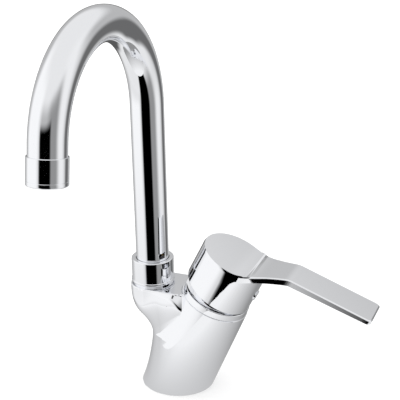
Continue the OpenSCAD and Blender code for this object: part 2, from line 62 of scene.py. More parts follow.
# Studio. A wide white table in a soft tent, with a few plain cards around it. The chrome mirrors
# a small table top close by, and the tent and its cards further off.
bpy.context.scene.view_settings.view_transform = "Standard"


def link(tree, source, target):
    tree.links.new(source, target)


def add(tree, kind, **values):
    node = tree.nodes.new(kind)
    for name, value in values.items():
        setattr(node, name, value)
    return node


def sum_of(tree, kind, first, second):
    """One arithmetic step between sockets or numbers."""
    node = add(tree, "ShaderNodeMath", operation=kind)
    for slot, value in enumerate((first, second)):
        if value is None:
            continue
        if isinstance(value, (int, float)):
            node.inputs[slot].default_value = value
        else:
            link(tree, value, node.inputs[slot])
    return node.outputs[0]


def table(name, radius, height, base):
    """A round table top, in millimetres, with the lightness of its paint."""
    paint = bpy.data.materials.new(name)
    paint.use_nodes = True
    shader = paint.node_tree.nodes["Principled BSDF"]
    shader.inputs["Base Color"].default_value = (base, base, base, 1)
    shader.inputs["Emission Strength"].default_value = 1
    shader.inputs["Roughness"].default_value = 0.6
    shader.inputs["Specular IOR Level"].default_value = 0
    shape = bmesh.new()
    bmesh.ops.create_circle(
        shape, cap_ends=True, segments=96, radius=radius * mm, matrix=Matrix.Translation((0, 0, height * mm))
    )
    mesh = bpy.data.meshes.new(name)
    shape.to_mesh(mesh)
    shape.free()
    mesh.materials.append(paint)
    made = bpy.data.objects.new(name, mesh)
    bpy.context.scene.collection.objects.link(made)
    return made


wide_table = table("wide_table", 4000, -0.1, 0.62)
wide_table.visible_glossy = False
wide_shader = wide_table.data.materials[0].node_tree.nodes["Principled BSDF"]
wide_shader.inputs["Emission Color"].default_value = (0.42, 0.42, 0.42, 1)

# The chrome mirrors only this small top, whose glow is painted light, bright in front and falling off
# to the back, while the camera sees only the wide one. So the floor looks plain white, and the
# chrome keeps its depth.
glowing_table_top = table("glowing_table_top", 140, -0.05, 0)
glowing_table_top.visible_camera = False
glowing_table_top.visible_diffuse = False
glowing_table_top.visible_shadow = False
top_tree = glowing_table_top.data.materials[0].node_tree
top_place = add(top_tree, "ShaderNodeTexCoord")
top_parts = add(top_tree, "ShaderNodeSeparateXYZ")
# Painted light: the top's glow fades from 0.95 in front to 0.3 behind, as the light falls off.
top_light = add(top_tree, "ShaderNodeMapRange")
top_light.inputs["From Min"].default_value = -0.1
top_light.inputs["From Max"].default_value = 0.06
top_light.inputs["To Min"].default_value = 0.95
top_light.inputs["To Max"].default_value = 0.3
link(top_tree, top_place.outputs["Object"], top_parts.inputs[0])
link(top_tree, top_parts.outputs["Y"], top_light.inputs["Value"])
link(top_tree, top_light.outputs["Result"], top_tree.nodes["Principled BSDF"].inputs["Emission Color"])

card = bpy.data.node_groups.new("studio_card", "ShaderNodeTree")
card_sizes = ("Middle Bearing", "Middle Height", "Half Width", "Half Height", "Softness")
for name in ("Bearing", "Height", *card_sizes):
    card.interface.new_socket(name, in_out="INPUT", socket_type="NodeSocketFloat")
card.interface.new_socket("Mask", in_out="OUTPUT", socket_type="NodeSocketFloat")
card_in = add(card, "NodeGroupInput").outputs
card_out = add(card, "NodeGroupOutput")
rising = sum_of(card, "SUBTRACT", card_in["Height"], card_in["Middle Height"])
wrap = add(card, "ShaderNodeMath", operation="WRAP")
link(card, sum_of(card, "SUBTRACT", card_in["Bearing"], card_in["Middle Bearing"]), wrap.inputs[0])
wrap.inputs[1].default_value = 180
wrap.inputs[2].default_value = -180
mask = None  # the fades across and up, multiplied
for away, half in ((wrap.outputs[0], "Half Width"), (rising, "Half Height")):
    room = sum_of(card, "SUBTRACT", card_in[half], sum_of(card, "ABSOLUTE", away, None))
    fade = add(card, "ShaderNodeMapRange", interpolation_type="SMOOTHSTEP")
    fade.inputs["From Min"].default_value = -0.5
    fade.inputs["From Max"].default_value = 0.5
    link(card, sum_of(card, "DIVIDE", room, card_in["Softness"]), fade.inputs["Value"])
    mask = fade.outputs["Result"] if mask is None else sum_of(card, "MULTIPLY", mask, fade.outputs["Result"])
link(card, mask, card_out.inputs["Mask"])

tent = bpy.data.worlds.new("tent")
bpy.context.scene.world = tent
tent.use_nodes = True
tent_tree = tent.node_tree
tent_tree.nodes.clear()
facing = add(tent_tree, "ShaderNodeTexCoord")
parts = add(tent_tree, "ShaderNodeSeparateXYZ")
link(tent_tree, facing.outputs["Generated"], parts.inputs[0])
bearing = sum_of(
    tent_tree, "ARCTAN2", parts.outputs["X"], sum_of(tent_tree, "MULTIPLY", parts.outputs["Y"], -1)
)
bearing = sum_of(tent_tree, "DEGREES", bearing, None)
height = sum_of(tent_tree, "DEGREES", sum_of(tent_tree, "ARCSINE", parts.outputs["Z"], None), None)
tent_cloth = add(tent_tree, "ShaderNodeValue")
tent_cloth.outputs[0].default_value = 0.85
glow = tent_cloth.outputs[0]
# Each card's brightness, then its middle's bearing from the front and height, half its width
# and height, and the softness of its edge, in degrees.
for brightness, *shape in (
    (0.5, 0, 0, 400, 30, 20),
    (0.3, 60, -10, 30, 40, 30),
    (1.0, -60, 10, 40, 40, 30),
    (0.9, 105, 10, 20, 40, 30),
    (0.0, 15, -25, 30, 40, 10),
    (0.1, -150, -20, 15, 25, 15),
    (0.15, 150, -20, 15, 25, 15),
):
    mask = add(tent_tree, "ShaderNodeGroup", node_tree=card)
    link(tent_tree, bearing, mask.inputs["Bearing"])
    link(tent_tree, height, mask.inputs["Height"])
    for name, value in zip(card_sizes, shape):
        mask.inputs[name].default_value = value
    layer = add(tent_tree, "ShaderNodeMix", data_type="FLOAT")
    link(tent_tree, mask.outputs["Mask"], layer.inputs["Factor"])
    link(tent_tree, glow, layer.inputs["A"])
    layer.inputs["B"].default_value = brightness
    glow = layer.outputs["Result"]
mirrored = add(tent_tree, "ShaderNodeBackground")
link(tent_tree, glow, mirrored.inputs["Color"])
plain = add(tent_tree, "ShaderNodeBackground")
plain.inputs["Color"].default_value = (1, 1, 1, 1)
plain.inputs["Strength"].default_value = 1.3
route = add(tent_tree, "ShaderNodeLightPath")
choose = add(tent_tree, "ShaderNodeMixShader")
link(tent_tree, route.outputs["Is Glossy Ray"], choose.inputs["Fac"])
link(tent_tree, plain.outputs[0], choose.inputs[1])
link(tent_tree, mirrored.outputs[0], choose.inputs[2])
tent_out = add(tent_tree, "ShaderNodeOutputWorld")
link(tent_tree, choose.outputs[0], tent_out.inputs["Surface"])


# Chrome. Nickel and chromium plated on polished brass or zinc: almost a mirror, with a very
# faint waviness from polishing and a film of fine wiping marks in its gloss.
polish = bpy.data.node_groups.new("polished_plating", "ShaderNodeTree")
for name in ("Roughness Low", "Roughness High", "Waviness", "Grain Scale"):
    polish.interface.new_socket(name, in_out="INPUT", socket_type="NodeSocketFloat")
polish.interface.new_socket("Roughness", in_out="OUTPUT", socket_type="NodeSocketFloat")
polish.interface.new_socket("Normal", in_out="OUTPUT", socket_type="NodeSocketVector")
polish_in = add(polish, "NodeGroupInput")
polish_out = add(polish, "NodeGroupOutput")
polish_place = add(polish, "ShaderNodeTexCoord")
polish_marks = add(polish, "ShaderNodeTexNoise")
polish_marks.inputs["Detail"].default_value = 6
polish_marks.inputs["Roughness"].default_value = 0.6
polish_range = add(polish, "ShaderNodeMapRange")
polish_range.inputs["From Min"].default_value = 0.35
polish_range.inputs["From Max"].default_value = 0.7
polish_wave = add(polish, "ShaderNodeTexNoise")
polish_wave.inputs["Scale"].default_value = 45
polish_wave.inputs["Detail"].default_value = 1
polish_bump = add(polish, "ShaderNodeBump")
polish_bump.inputs["Distance"].default_value = 0.0001
link(polish, polish_place.outputs["Object"], polish_marks.inputs["Vector"])
link(polish, polish_place.outputs["Object"], polish_wave.inputs["Vector"])
link(polish, polish_in.outputs["Grain Scale"], polish_marks.inputs["Scale"])
link(polish, polish_marks.outputs["Fac"], polish_range.inputs["Value"])
link(polish, polish_in.outputs["Roughness Low"], polish_range.inputs["To Min"])
link(polish, polish_in.outputs["Roughness High"], polish_range.inputs["To Max"])
link(polish, polish_wave.outputs["Fac"], polish_bump.inputs["Height"])
link(polish, polish_in.outputs["Waviness"], polish_bump.inputs["Strength"])
link(polish, polish_range.outputs["Result"], polish_out.inputs["Roughness"])
link(polish, polish_bump.outputs["Normal"], polish_out.inputs["Normal"])


def plated(name, tint, low, high, waviness):
    """A plated metal with its own tint, gloss and waviness."""
    metal = bpy.data.materials.new(name)
    metal.use_nodes = True
    tree = metal.node_tree
    shader = tree.nodes["Principled BSDF"]
    shader.inputs["Base Color"].default_value = (*tint, 1)
    shader.inputs["Metallic"].default_value = 1
    surface = add(tree, "ShaderNodeGroup", node_tree=polish)
    surface.inputs["Roughness Low"].default_value = low
    surface.inputs["Roughness High"].default_value = high
    surface.inputs["Waviness"].default_value = waviness
    surface.inputs["Grain Scale"].default_value = 60
    link(tree, surface.outputs["Roughness"], shader.inputs["Roughness"])
    link(tree, surface.outputs["Normal"], shader.inputs["Normal"])
    return metal


chrome = plated("chrome_plating", (0.924, 0.933, 0.957), 0.02, 0.05, 0.02)

# Mixer body. One plated brass casting. A barrel that leans to the right holds the cartridge, and a
# boss beside it, hollowed towards the foot, carries the spout. A blank is cut to an even grid, its
# points are settled on the skin, and the rim and bores are machined. Values are in millimetres.
lean = math.radians(23.5)
barrel_radius = 23.33
riser_x = -16.3
boss_half = 15.9
waist_out, waist_height, waist_radius = 43.35, 35, 27.75
shoulder_out, shoulder_height, shoulder_radius = 12.0, 71.37, 20.2
foot_out = waist_out - waist_radius
plateau_top = 74
to_barrel = Matrix.Rotation(lean, 4, "Y")


def rounded_inside(a, b, radius):
    """Distance to the overlap of two solids with a rounded outer edge."""
    corner = numpy.hypot(numpy.maximum(a + radius, 0), numpy.maximum(b + radius, 0))
    return corner + numpy.minimum(numpy.maximum(a, b), -radius)


def rounded_joint(a, b, radius):
    """Distance to two joined solids with a rounded inner corner."""
    corner = numpy.hypot(numpy.maximum(radius - a, 0), numpy.maximum(radius - b, 0))
    return numpy.maximum(numpy.minimum(a, b), radius) - corner


def body_distance(place):
    """Signed distance in millimetres from points to the skin of the casting."""
    x, y, z = place.T
    across = x * math.cos(lean) - z * math.sin(lean)
    along = x * math.sin(lean) + z * math.cos(lean)
    barrel_side = numpy.hypot(across, y) - barrel_radius
    plan = numpy.where(x < riser_x, numpy.hypot(x - riser_x, y), numpy.abs(y)) - boss_half
    past = x - riser_x - 2
    past = riser_x + (past + numpy.hypot(past, 9)) / 2
    widening = 6.75 + 0.2 * (past * math.cos(lean) - z * math.sin(lean) + 4.5)
    face = plan - (widening + numpy.hypot(widening, 0.8)) / 2
    out = numpy.hypot(x, y * 0.93)
    hollow = waist_radius - numpy.hypot(out - waist_out, z - waist_height)
    shoulder = numpy.hypot(out - shoulder_out, z - shoulder_height) - shoulder_radius
    above = (shoulder_out - waist_out) * (z - waist_height) - (shoulder_height - waist_height) * (out - waist_out) < 0
    turned = numpy.where(above, shoulder, hollow)
    turned = numpy.where(z < waist_height, out - foot_out, turned)
    turned = numpy.where(z > shoulder_height, out - (shoulder_out + shoulder_radius), turned)
    share = numpy.clip((x + 22) / 16, 0, 1)
    boss = rounded_inside(face, turned, 4 + 10 * share * share * (3 - 2 * share))
    tilt = math.radians(38)
    valley = plan * math.cos(tilt) + rounded_inside(x - 17.6, z - plateau_top, 15) * math.sin(tilt)
    boss = rounded_inside(boss, valley, 0.8)
    plateau = numpy.maximum(rounded_inside(plan, turned, 4), 73.3 - z)
    boss = rounded_inside(rounded_joint(boss, plateau, 0.3), z - plateau_top, 0.5)
    joined = rounded_joint(boss, barrel_side, numpy.clip(0.6 + (60 - z) * 0.4, 0.6, 9))
    return rounded_inside(numpy.maximum(joined, along - 74.2), -z, 0.6)


def body_slope(place):
    """Outward direction of the casting's skin at points near it."""
    step = 0.01
    slope = numpy.empty_like(place)
    for axis in range(3):
        shift = numpy.zeros(3)
        shift[axis] = step
        slope[:, axis] = body_distance(place + shift) - body_distance(place - shift)
    return slope / (2 * step)


def new_piece(name, mesh, metal):
    """Puts a finished mesh in the scene under its name, in one material."""
    mesh.name = name
    for polygon in mesh.polygons:
        polygon.material_index = 0
    mesh.materials.clear()
    mesh.materials.append(metal)
    mesh.shade_smooth()
    piece = bpy.data.objects.new(name, mesh)
    bpy.context.scene.collection.objects.link(piece)
    return piece


def lathe(shape, profile, steps, place=Matrix.Identity(4)):
    """Turns a closed profile of radius and height, in millimetres, about the axis."""
    fresh = [shape.verts.new((radius * mm, 0, height * mm)) for radius, height in profile]
    edges = [shape.edges.new((fresh[i - 1], fresh[i])) for i in range(len(fresh))]
    before = set(shape.verts) - set(fresh)
    bmesh.ops.spin(
        shape, geom=fresh + edges, cent=(0, 0, 0), axis=(0, 0, 1), angle=math.tau, steps=steps, use_merge=True
    )
    made = [vert for vert in shape.verts if vert not in before]
    bmesh.ops.remove_doubles(shape, verts=made, dist=0.0005 * mm)
    made = [vert for vert in shape.verts if vert not in before]
    bmesh.ops.transform(shape, matrix=place, verts=made)
    return made


def soften(shape, radius, segments, chosen=None, least=30):
    """Rounds the sharp edges of a shape, or only those that are chosen."""
    sharp = [
        edge
        for edge in shape.edges
        if len(edge.link_faces) == 2
        and edge.calc_face_angle(0) > math.radians(least)
        and (chosen is None or chosen(edge))
    ]
    bmesh.ops.bevel(
        shape, geom=sharp, offset=radius * mm, segments=segments, profile=0.5, affect="EDGES", material=-1
    )


def slice_off(shape, point, outward, reach=0.0):
    """Cuts away what lies beyond a plane and closes the cut."""
    bmesh.ops.bisect_plane(
        shape, geom=shape.verts[:] + shape.edges[:] + shape.faces[:], dist=reach, plane_co=point,
        plane_no=outward, clear_outer=True
    )
    bmesh.ops.holes_fill(shape, edges=[edge for edge in shape.edges if edge.is_boundary], sides=0)


rough = bmesh.new()
lathe(rough, [(0, 0.5), (15.4, 0.5), (15.4, 42), (22, 54), (29, 62), (31.9, 71.4), (31.9, 73.7), (0, 73.7)], 64)
for turn in range(90, 271, 15):
    outward = Vector((math.cos(math.radians(turn)), math.sin(math.radians(turn)), 0))
    slice_off(rough, (Vector((riser_x, 0, 0)) + outward * 15.6) * mm, outward, 0.001 * mm)
rim_up = Vector((math.sin(lean), 0, math.cos(lean)))
slice_off(rough, rim_up * 72 * mm, rim_up, 0.001 * mm)
lathe(rough, [(0, -12), (22.8, -12), (22.8, 73), (0, 73)], 64, to_barrel)
slice_off(rough, (0, 0, 0.3 * mm), (0, 0, -1))
bmesh.ops.recalc_face_normals(rough, faces=rough.faces)
rough_mesh = bpy.data.meshes.new("body_blank")
rough.to_mesh(rough_mesh)
rough.free()
blank = bpy.data.objects.new("body_blank", rough_mesh)
bpy.context.scene.collection.objects.link(blank)
remesh = blank.modifiers.new("even_grid", "REMESH")
remesh.mode = "VOXEL"
remesh.voxel_size = 0.52 * mm
body_mesh = bpy.data.meshes.new_from_object(blank.evaluated_get(bpy.context.evaluated_depsgraph_get()))
bpy.data.objects.remove(blank)


def settle(mesh, steps):
    """Moves a mesh's points onto the skin of the casting."""
    points = numpy.empty(len(mesh.vertices) * 3)
    mesh.vertices.foreach_get("co", points)
    points = points.reshape(-1, 3) / mm
    for _ in range(steps):
        slope = body_slope(points)
        steep = numpy.maximum((slope**2).sum(axis=1), 0.2)
        points -= slope * numpy.clip(body_distance(points) / steep, -1.0, 1.0)[:, None]
    mesh.vertices.foreach_set("co", (points * mm).ravel())


settle(body_mesh, 9)
even = bmesh.new()
even.from_mesh(body_mesh)
for _ in range(4):
    bmesh.ops.smooth_vert(even, verts=even.verts, factor=0.5, use_axis_x=True, use_axis_y=True, use_axis_z=True)
even.to_mesh(body_mesh)
even.free()
settle(body_mesh, 9)


def tool(name, turnings):
    """A closed cutting or joining shape, turned from profiles at given places."""
    shape = bmesh.new()
    for profile, place in turnings:
        lathe(shape, profile, 72, place)
    bmesh.ops.recalc_face_normals(shape, faces=shape.faces)
    mesh = bpy.data.meshes.new(name)
    shape.to_mesh(mesh)
    shape.free()
    made = bpy.data.objects.new(name, mesh)
    bpy.context.scene.collection.objects.link(made)
    return made


riser = Matrix.Translation((riser_x * mm, 0, 0))
neck = tool(
    "neck_tool",
    [([(0, 66), (13.6, 66), (13.6, 75.0), (13.4, 75.2), (12.8, 75.2), (12.8, 82.7), (12.5, 83), (0, 83)], riser)],
)
bores = tool(
    "bore_tool",
    [
        ([(0, 50), (17.6, 50), (17.6, 64.5), (20.3, 64.5), (20.3, 76), (0, 76)], to_barrel),
        ([(0, 73.2), (22.6, 73.2), (23.5, 72.7), (31, 72.7), (31, 80), (0, 80)], to_barrel),
        ([(0, 61), (10.4, 61), (10.4, 84), (0, 84)], riser),
        ([(18.3, -1), (21, -1), (21, 2.2), (18.3, 2.2)], Matrix.Identity(4)),
        ([(0, -1), (3.4, -1), (3.4, 18), (0, 18)], Matrix.Translation((-9 * mm, 0, 0))),
        ([(0, -1), (4.5, -1), (4.5, 17), (0, 17)], Matrix.Translation((8.5 * mm, 8 * mm, 0))),
        ([(0, -1), (4.5, -1), (4.5, 17), (0, 17)], Matrix.Translation((8.5 * mm, -8 * mm, 0))),
    ],
)
casting = bpy.data.objects.new("casting", body_mesh)
bpy.context.scene.collection.objects.link(casting)
for action, shape in (("UNION", neck), ("DIFFERENCE", bores)):
    machining = casting.modifiers.new("machining", "BOOLEAN")
    machining.operation = action
    machining.object = shape
    machining.solver = "EXACT"
body_mesh = bpy.data.meshes.new_from_object(casting.evaluated_get(bpy.context.evaluated_depsgraph_get()))
for used in (casting, neck, bores):
    bpy.data.objects.remove(used)
clean = bmesh.new()
clean.from_mesh(body_mesh)
bmesh.ops.remove_doubles(clean, verts=clean.verts, dist=0.003 * mm)
bmesh.ops.dissolve_degenerate(clean, edges=clean.edges, dist=0.003 * mm)
bmesh.ops.holes_fill(clean, edges=[edge for edge in clean.edges if edge.is_boundary], sides=0)
clean.to_mesh(body_mesh)
clean.free()
body = new_piece("body_casting", body_mesh, chrome)
body_mesh.set_sharp_from_angle(angle=math.radians(35))

points = numpy.empty(len(body_mesh.vertices) * 3)
body_mesh.vertices.foreach_get("co", points)
points = points.reshape(-1, 3) / mm
slope = body_slope(points)
slope /= numpy.maximum(numpy.linalg.norm(slope, axis=1), 0.01)[:, None]
off_skin = numpy.abs(body_distance(points)) > 0.02
corners = []
for polygon in body_mesh.polygons:
    flat = numpy.array(polygon.normal)
    for vertex in polygon.vertices:
        shade = slope[vertex]
        corners.append((0, 0, 0) if off_skin[vertex] or shade @ flat < 0.7 else shade)
body_mesh.normals_split_custom_set(corners)
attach(body, "fixture")
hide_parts("mixer_body")


# Trim ring. A thin spun cover, plated, that sits on the barrel's rim and closes the gap to the
# cartridge. Its shoulder is round, and a shallow cone runs on under the handle.
def plated_ring(name, node, body_name, profile, place, rounds):
    """A turned and plated ring that replaces a node."""
    shape = bmesh.new()
    lathe(shape, profile, 128, place)
    bmesh.ops.recalc_face_normals(shape, faces=shape.faces)
    back = place.inverted()
    for low, high, out_low, radius, segments in rounds:

        def here(edge):
            """True where an edge lies between two heights, and outside a radius."""
            middle = back @ ((edge.verts[0].co + edge.verts[1].co) / 2) / mm
            return low < middle.z < high and math.hypot(middle.x, middle.y) > out_low

        soften(shape, radius, segments, here)
    mesh = bpy.data.meshes.new(name)
    shape.to_mesh(mesh)
    shape.free()
    piece = new_piece(name, mesh, chrome)
    smooth = piece.modifiers.new("even_shine", "WEIGHTED_NORMAL")
    smooth.weight = 80
    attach(piece, body_name)
    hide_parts(node)


plated_ring(
    "trim_cover",
    "trim_ring",
    "fixture",
    [
        (20.6, 73.2), (22.9, 73.2), (22.9, 78.0), (20.2, 78.0), (16.6, 83.0), (14.6, 83.0),
        (14.6, 82.0), (18.6, 77.6), (18.6, 75.6), (20.6, 75.6)
    ],
    to_barrel,
    [(77.5, 78.5, 22.5, 0.5, 4), (73.0, 73.4, 22.5, 0.2, 2), (82.5, 83.5, 16.0, 0.4, 3)],
)

# Union nut. Turned from brass bar and plated. It has a bead at its foot and a rounded lip, and
# the tube stands in it with a thin dark gap.
plated_ring(
    "union_nut",
    "spout_nut",
    "fixture",
    [
        (12.85, 75.3), (14.8, 75.3), (14.8, 77.1), (14.3, 77.1), (14.3, 91.8), (11.3, 91.8),
        (11.3, 87.92), (12.5, 87.92), (12.5, 83), (12.85, 83)
    ],
    riser,
    [(75.2, 77.2, 14.5, 0.6, 5), (91.5, 92, 13, 0.6, 5), (91.5, 92, 11, 0.3, 3)],
)

# Spout tube. Seamless brass tube, bent on a mandrel and plated: straight riser, one round bend
# and a short straight end that the outlet ring grips.
tube_radius, tube_foot, bend_foot, bend_radius = 11, 87, 198.3, 62.2
bend_middle = Vector((riser_x, -bend_radius, bend_foot)) * mm
bend_turn = math.radians(171)
tube = bmesh.new()
bmesh.ops.create_circle(
    tube, segments=128, radius=tube_radius * mm, matrix=Matrix.Translation((riser_x * mm, 0, tube_foot * mm))
)
rim = tube.edges[:]


def pull(shape, edges, move):
    """Draws an open ring of edges out into a tube and returns the new ring."""
    made = bmesh.ops.extrude_edge_only(shape, edges=edges)["geom"]
    fresh = [item for item in made if isinstance(item, bmesh.types.BMVert)]
    bmesh.ops.translate(shape, verts=fresh, vec=move)
    return [item for item in made if isinstance(item, bmesh.types.BMEdge) and all(v in fresh for v in item.verts)]


rim = pull(tube, rim, Vector((0, 0, bend_foot - tube_foot)) * mm)
around = bmesh.ops.spin(
    tube, geom=rim + list({v for e in rim for v in e.verts}), cent=bend_middle, axis=(1, 0, 0), angle=bend_turn,
    steps=120
)["geom_last"]
rim = [item for item in around if isinstance(item, bmesh.types.BMEdge)]
outlet = (
    Matrix.Translation(bend_middle) @ Matrix.Rotation(bend_turn, 4, "X") @ Matrix.Translation((0, bend_radius * mm, 0))
)
pull(tube, rim, outlet.to_3x3() @ Vector((0, 0, 11 * mm)))
bmesh.ops.recalc_face_normals(tube, faces=tube.faces)
low_face = min(tube.faces, key=lambda face: face.calc_center_median().z)
low_middle = low_face.calc_center_median()
if low_face.normal.dot(low_middle - Vector((riser_x * mm, 0, low_middle.z))) < 0:
    bmesh.ops.reverse_faces(tube, faces=tube.faces)
bmesh.ops.solidify(tube, geom=tube.faces[:], thickness=1.2 * mm)
bmesh.ops.recalc_face_normals(tube, faces=tube.faces)
tube_mesh = bpy.data.meshes.new("spout_pipe")
tube.to_mesh(tube_mesh)
tube.free()
pipe = new_piece("spout_pipe", tube_mesh, chrome)
tube_mesh.set_sharp_from_angle(angle=math.radians(40))
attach(pipe, "spout")
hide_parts("spout_tube")

# Outlet ring. Turned brass, plated, with a fine groove for a grip tool near its rounded mouth.
plated_ring(
    "outlet_collar",
    "aerator_ring",
    "spout",
    [
        (11.02, 6.6), (11.8, 6.6), (11.8, 19.7), (11.5, 19.75), (11.5, 20.05), (11.8, 20.1), (11.8, 22.8),
        (10.3, 22.8), (10.3, 11.0), (11.02, 11.0)
    ],
    outlet,
    [(6.5, 6.7, 11.5, 0.4, 4), (22.7, 22.9, 11.5, 1.0, 5), (22.7, 22.9, 10.2, 0.2, 2)],
)

# Handle. Zinc die casting, polished and plated: a hollow round cap, a neck that sweeps up from
# its top, and a flat blade. Its outline has a chamfer that is deeper on the cap than on the blade.
handle_lean = math.radians(27)
handle_place = Matrix.Translation(Vector((math.sin(lean), 0, math.cos(lean))) * 80 * mm) @ Matrix.Rotation(
    handle_lean, 4, "Y"
)
cap_x, cap_radius, cap_height = -1.1, 23.5, 30.6
bend_x, bend_height = 36.5, 43.6
blade_half, blade_length, blade_slope = 13.0, 57.7, math.radians(6.5)
flare_radius = 60.0
flare_y = blade_half + flare_radius
flare_x = cap_x + math.sqrt((cap_radius + flare_radius) ** 2 - flare_y**2)
touch_turn = math.atan2(flare_y, flare_x - cap_x)
tip_x = bend_x + blade_length * math.cos(blade_slope)
tip_height = bend_height + blade_length * math.sin(blade_slope)
under_bend_x, under_bend_height = 37.73, 39.51
tip_round, tip_thickness = 3, 3.0
neck_meets_cap = bend_x - (bend_height - cap_height) / math.tan(handle_lean)
valley_length = 22
valley_start = neck_meets_cap - valley_length / 2
valley_end = neck_meets_cap + valley_length / 2
bend_round = 2.5


def top_height(x):
    """Height of the handle's top along its length."""
    if x <= valley_start:
        return cap_height
    if x <= valley_end:
        share = (x - valley_start) / valley_length
        return cap_height + math.tan(handle_lean) * valley_length * (share**3 - share**4 / 2)
    before = bend_height + (x - bend_x) * math.tan(handle_lean)
    after = bend_height + (x - bend_x) * math.tan(blade_slope)
    if abs(x - bend_x) >= bend_round:
        return min(before, after)
    share = (x - bend_x + bend_round) / (2 * bend_round)
    fall = (math.tan(handle_lean) - math.tan(blade_slope)) * bend_round
    return before - fall * share**2


def under_height(x):
    """Height of the plate's underside, which starts inside the cap."""
    past_bend = x - under_bend_x
    under_neck = under_bend_height + past_bend * math.tan(handle_lean)
    fall = (tip_height - tip_thickness - under_bend_height) / (tip_x - under_bend_x)
    return min(under_neck, under_bend_height + past_bend * fall)


lever = bmesh.new()


def pen_arc(shape, tip, centre, turn, steps):
    """Draws an arc from a point and returns its end."""
    made = bmesh.ops.spin(
        shape, geom=[tip], cent=(centre[0], centre[1], 0), axis=(0, 0, 1), angle=turn, steps=steps
    )["geom_last"]
    return [item for item in made if isinstance(item, bmesh.types.BMVert)][0]


def pen_line(shape, tip, x, y):
    """Draws a line from a point and returns its end."""
    end = shape.verts.new((x, y, 0))
    shape.edges.new((tip, end))
    return end


touch_x = cap_x + cap_radius * math.cos(touch_turn)
start = lever.verts.new((touch_x, cap_radius * math.sin(touch_turn), 0))
left = pen_arc(lever, start, (cap_x, 0), 2 * (math.pi - touch_turn), 140)
tip = pen_arc(lever, left, (flare_x, -flare_y), -(math.pi / 2 - touch_turn), 24)
tip = pen_line(lever, tip, tip_x - tip_round, -blade_half)
tip = pen_arc(lever, tip, (tip_x - tip_round, tip_round - blade_half), math.pi / 2, 8)
tip = pen_line(lever, tip, tip_x, blade_half - tip_round)
tip = pen_arc(lever, tip, (tip_x - tip_round, blade_half - tip_round), math.pi / 2, 8)
tip = pen_line(lever, tip, flare_x, blade_half)
pen_arc(lever, tip, (flare_x, flare_y), -(math.pi / 2 - touch_turn), 24)
bmesh.ops.remove_doubles(lever, verts=lever.verts, dist=0.001)
outline = lever.edges[:]


def in_cap(item):
    """True where an edge lies on the cap's circle."""
    return all(abs(math.hypot(v.co.x - cap_x, v.co.y) - cap_radius) < 0.001 for v in item.verts)


back_arc = [edge for edge in outline if in_cap(edge)]
start = next(v for v in lever.verts if abs(v.co.x - touch_x) < 0.001 and v.co.y < 0)
pen_arc(lever, start, (cap_x, 0), 2 * touch_turn, 60)
bmesh.ops.remove_doubles(lever, verts=lever.verts, dist=0.001)
front_arc = [edge for edge in lever.edges if edge.is_wire and edge not in set(outline)]
cap_face = bmesh.ops.contextual_create(lever, geom=back_arc + front_arc)["faces"][0]
plate_edges = [edge for edge in lever.edges if edge not in set(back_arc)]
plate_face = bmesh.ops.contextual_create(lever, geom=plate_edges)["faces"][0]
plate_face.material_index = 1
cap_face.material_index = 0
bmesh.ops.recalc_face_normals(lever, faces=lever.faces)
raised = bmesh.ops.extrude_face_region(lever, geom=[cap_face, plate_face], use_keep_orig=True)["geom"]
raised_faces = [item for item in raised if isinstance(item, bmesh.types.BMFace)]
bmesh.ops.translate(lever, verts=[v for v in raised if isinstance(v, bmesh.types.BMVert)], vec=(0, 0, 2))
bmesh.ops.inset_region(lever, faces=raised_faces, thickness=1.0, use_even_offset=True, use_boundary=True)
inner = {v for face in raised_faces for v in face.verts}
for vert in inner:
    vert.co.z = 3
stations = numpy.concatenate(
    [
        numpy.linspace(valley_start, valley_end, 13),
        numpy.linspace(valley_end, bend_x - bend_round, 12)[1:-1],
        numpy.linspace(bend_x - bend_round, bend_x + bend_round, 9),
        [under_bend_x],
        numpy.linspace(bend_x + bend_round, tip_x - tip_round, 16)[1:-1],
    ]
)
for station in stations:
    bmesh.ops.bisect_plane(
        lever, geom=lever.verts[:] + lever.edges[:] + lever.faces[:], dist=0.0005, plane_co=(station, 0, 0),
        plane_no=(1, 0, 0)
    )
underneath = [face for face in lever.faces if all(v.co.z < 0.5 for v in face.verts) and face.material_index == 0]
bmesh.ops.delete(lever, geom=underneath, context="FACES")
foot = [edge for edge in lever.edges if edge.is_boundary]
levels = {vert: round(vert.co.z) for vert in lever.verts}
chamfer_push, blade_chamfer, cap_chamfer = 0.55, 0.6, 1.6
for vert, floor in levels.items():
    x, y = vert.co.x, vert.co.y
    cap_share = min(max((24 - x) / 18, 0), 1)
    if floor == 3:
        cap_share = cap_share * cap_share * (3 - 2 * cap_share)
        out = math.hypot(x - cap_x, y)
        if cap_share > 0 and out > 15:
            vert.co.x += (x - cap_x) / out * cap_share * chamfer_push
            vert.co.y += y / out * cap_share * chamfer_push
        vert.co.z = top_height(vert.co.x)
    elif floor == 2:
        vert.co.z = top_height(x) - blade_chamfer - (cap_chamfer - blade_chamfer) * cap_share
    else:
        vert.co.z = under_height(x)


def draw_down(shape, edges, place):
    """Draws a ring of edges to new places and returns the new ring."""
    made = bmesh.ops.extrude_edge_only(shape, edges=edges)["geom"]
    fresh = {item for item in made if isinstance(item, bmesh.types.BMVert)}
    for vert in fresh:
        vert.co = place(vert.co)
    return [item for item in made if isinstance(item, bmesh.types.BMEdge) and all(v in fresh for v in item.verts)]


skirt_slope = math.tan(math.radians(6.5))


def inward(place, radius):
    """The same bearing from the cap's axis at another radius."""
    bearing = math.atan2(place.y, place.x - cap_x)
    return Vector((cap_x + radius * math.cos(bearing), radius * math.sin(bearing), place.z))


